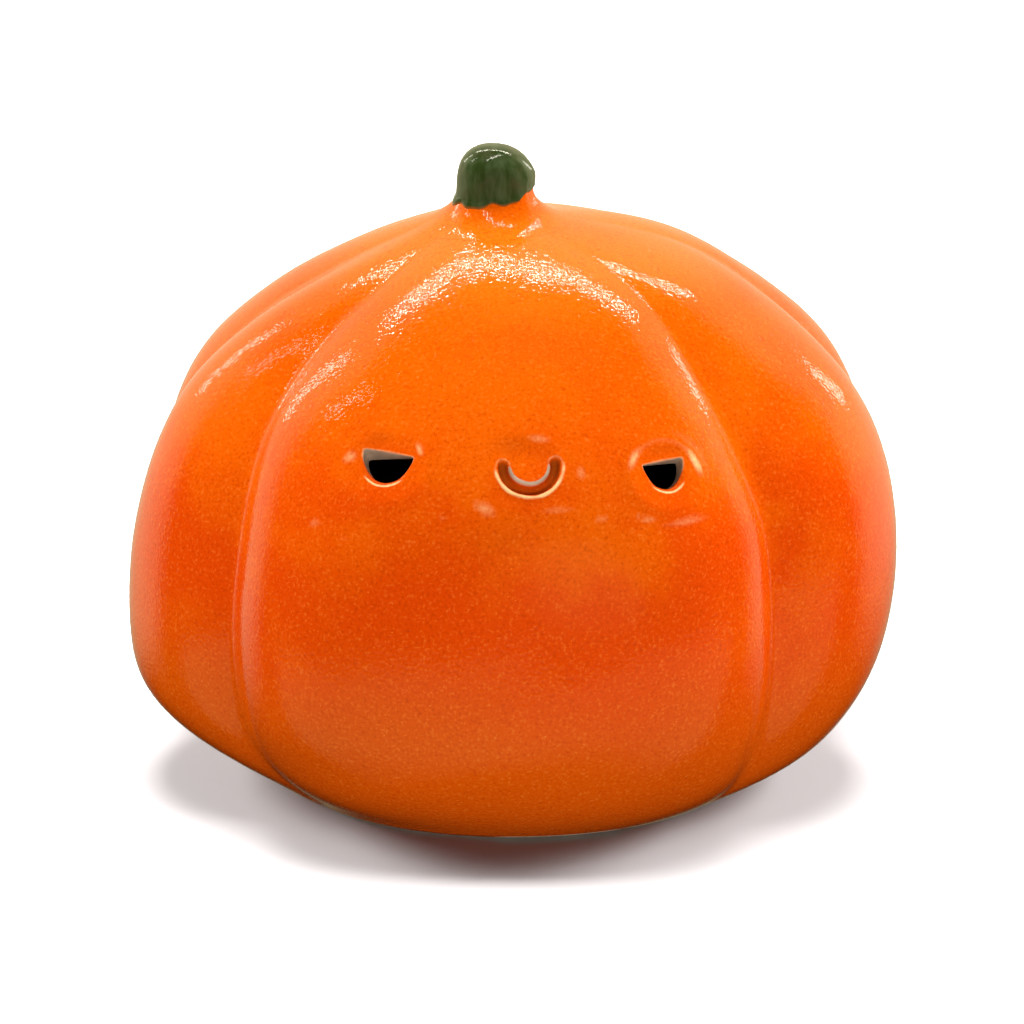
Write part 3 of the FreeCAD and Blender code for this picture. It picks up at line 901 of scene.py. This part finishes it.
finishes = {"orange_glaze": makeOrangeGlaze(), "green_glaze": makeGreenGlaze(), "bare_clay": makeBareClay()}
standsFor = [
    (shell, "pumpkin_shell", "orange_glaze"), (collar, "stem_collar", "orange_glaze"),
    (stem, "stem", "green_glaze"), (disc, "base_disc", "bare_clay"), (coil, "base_seam_coil", "bare_clay"),
]
for piece, node, slotName in standsFor:
    piece.data.materials.append(finishes[slotName])
    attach(piece, "root")
    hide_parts(node)
print("materials made")

# camera, floor and tent; sizes in metres. The gloss is what the glaze reflects of the tent, by direction
studio = {
    "floorSize": 6.0, "floorShades": (colour(0.205, 0.198, 0.197), colour(0.210, 0.203, 0.202)),
    "floorDrop": 0.00003, "cameraDistance": 0.70, "elevation": 17.2, "aimShare": 0.405, "lens": 188.0,
    "ambient": 0.52, "frontGloss": 0.004, "backGloss": 0.75, "sideGloss": 0.15, "floorGloss": 0.50,
    "glossTint": colour(1.0, 0.92, 0.56), "floorTint": colour(1.0, 0.85, 0.40),
    "glintColour": (1.0, 0.93, 0.80),
}


def makeFloor():
    mesh = bpy.data.meshes.new("floor")
    half = studio["floorSize"] / 2
    corners = [(-half, -half, 0), (half, -half, 0), (half, half, 0), (-half, half, 0)]
    mesh.from_pydata(corners, [], [(0, 1, 2, 3)])
    floor = bpy.data.objects.new("floor", mesh)
    bpy.context.scene.collection.objects.link(floor)
    made, tree, places = newMaterial("whiteFloor")
    shade = tree.noise(places, 40.0, 2.0, 0.5).blend(*studio["floorShades"])
    finishMaterial(tree, {"Base Color": shade, "Roughness": 0.9, "Specular IOR Level": 0.0,
                          "Emission Color": colour(1.0, 1.0, 1.0), "Emission Strength": 0.015})
    mesh.materials.append(made)
    floor.location.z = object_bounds()[0].z - studio["floorDrop"]
    floor.visible_glossy = floor.visible_diffuse = False
    floor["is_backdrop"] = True
    return floor


def makeTent():
    # white to the camera; soft even light; in gloss, bright behind and beside the pumpkin and dark in front
    world = bpy.data.worlds.new("tent")
    bpy.context.scene.world = world
    world.use_nodes = True
    world.node_tree.nodes.clear()
    tree = Wire(world.node_tree)
    direction = tree.node("ShaderNodeTexCoord", out="Generated")
    side, back, height = (tree.node("ShaderNodeSeparateXYZ", None, {0: direction}, out) for out in range(3))
    below = (1 - height.between(-0.36, -0.27)) * height.between(-0.98, -0.70)
    below = below * (1 - back.between(-0.05, 0.10))
    around = back.between(0.22, 0.50) * (1 - height.between(0.77, 0.82)) * height.between(-0.52, -0.20)
    wide = side.math("ABSOLUTE", side).between(0.50, 0.72)
    gloss = studio["frontGloss"] + around * (studio["backGloss"] + wide * studio["sideGloss"])
    gloss = gloss + below * studio["floorGloss"]
    seen = tree.node("ShaderNodeLightPath", out="Is Camera Ray")
    shiny = tree.node("ShaderNodeLightPath", out="Is Glossy Ray")
    lowFront = (1 - back.between(-0.15, 0.35)) * height.between(-0.03, 0.03)
    lowFront = lowFront * (1 - height.between(0.45, 0.80))
    spread = 0.22 + 1.30 * height.between(-0.95, -0.45) - 0.70 * height.between(-0.05, 0.20)
    ambient = studio["ambient"] * (spread - 0.50 * lowFront)
    strength = shiny * gloss + (1 - shiny) * ambient
    strength = seen * 1.05 + (1 - seen) * strength
    warmth = shiny.blend(colour(1, 1, 1), studio["glossTint"])
    tint = (below * shiny).blend(warmth, studio["floorTint"])
    light = tree.node("ShaderNodeBackground", None, {"Color": tint, "Strength": strength})
    tree.node("ShaderNodeOutputWorld", None, {"Surface": light})


def makeLamp(name, place, aimHeight, size, power, reached, glint):
    # a softbox shapes the surfaces unseen; a glint shows in the gloss alone; everything blocks both
    lamp = bpy.data.lights.new(name, "AREA")
    lamp.shape, lamp.size, lamp.size_y, lamp.energy = "RECTANGLE", size[0], size[1], power
    lamp.color = studio["glintColour"] if glint else (1, 1, 1)
    made = bpy.data.objects.new(name, lamp)
    made.location = place
    made.rotation_euler = (Vector((0, 0, aimHeight)) - Vector(place)).to_track_quat("-Z", "Y").to_euler()
    made.visible_glossy, made.visible_diffuse, made.visible_camera = glint, not glint, False
    bpy.context.scene.collection.objects.link(made)
    if reached:
        made.light_linking.receiver_collection = bpy.data.collections.new(name + "Receivers")
        for receiver in reached:
            made.light_linking.receiver_collection.objects.link(receiver)


def makeCamera():
    low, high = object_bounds()
    centre = (low + high) / 2
    aim = Vector((centre.x, centre.y, low.z + (high.z - low.z) * studio["aimShare"]))
    tilt = math.radians(studio["elevation"])
    lens = bpy.data.cameras.new("camera")
    lens.lens, lens.sensor_width = studio["lens"], 36.0
    camera = bpy.data.objects.new("camera", lens)
    camera.location = aim + Vector((0, -math.cos(tilt), math.sin(tilt))) * studio["cameraDistance"]
    camera.rotation_euler = (aim - camera.location).to_track_quat("-Z", "Y").to_euler()
    lens.clip_start, lens.clip_end = 0.01, 20.0
    bpy.context.scene.collection.objects.link(camera)
    bpy.context.scene.camera = camera


floor = makeFloor()
makeTent()
makeCamera()
glazed = (shell, stem, collar)
softboxes = [
    # name, place, height aimed at, width and height, watts, the only objects reached
    ("topSoftbox", (0, 0.17, 0.85), 0.04, (0.40, 0.30), 5.0, None),
    ("leftPanel", (-0.80, 0.27, 0.46), 0.04, (0.40, 0.45), 7.4, None),
    ("rightPanel", (0.80, 0.30, 0.42), 0.04, (0.45, 0.50), 8.6, None),
    ("frontFill", (0.15, -0.95, 0.06), 0.04, (0.70, 0.40), 7.8, glazed),
    ("floorSoftbox", (0, 0.02, 0.90), 0.04, (0.55, 0.50), 60.0, (floor,)),
    ("floorLeft", (-0.80, 0.22, 0.46), 0.04, (0.40, 0.45), 36.0, (floor,)),
    ("floorRight", (0.80, 0.24, 0.42), 0.04, (0.45, 0.50), 46.0, (floor,)),
]
glints = [
    ("backStrip", (0.01, 0.434, 0.625), 0.04, (0.66, 0.013), 1.2, None),
    ("leftArm", (-0.47, 0.44, 0.38), 0.04, (0.035, 0.34), 0.28, None),
    ("rightArm", (0.49, 0.50, 0.27), 0.04, (0.06, 0.20), 0.20, None),
    ("lobeStrip", (-0.49, 0.14, 0.61), 0.04, (0.016, 0.26), 0.17, None),
    ("stemStrip", (-0.02, 0.02, 0.62), 0.08, (0.40, 0.012), 0.60, (stem, collar)),
]
for lamp in softboxes:
    makeLamp(*lamp, glint=False)
for lamp in glints:
    makeLamp(*lamp, glint=True)
bpy.context.scene.view_settings.view_transform = "Standard"
print("studio set")
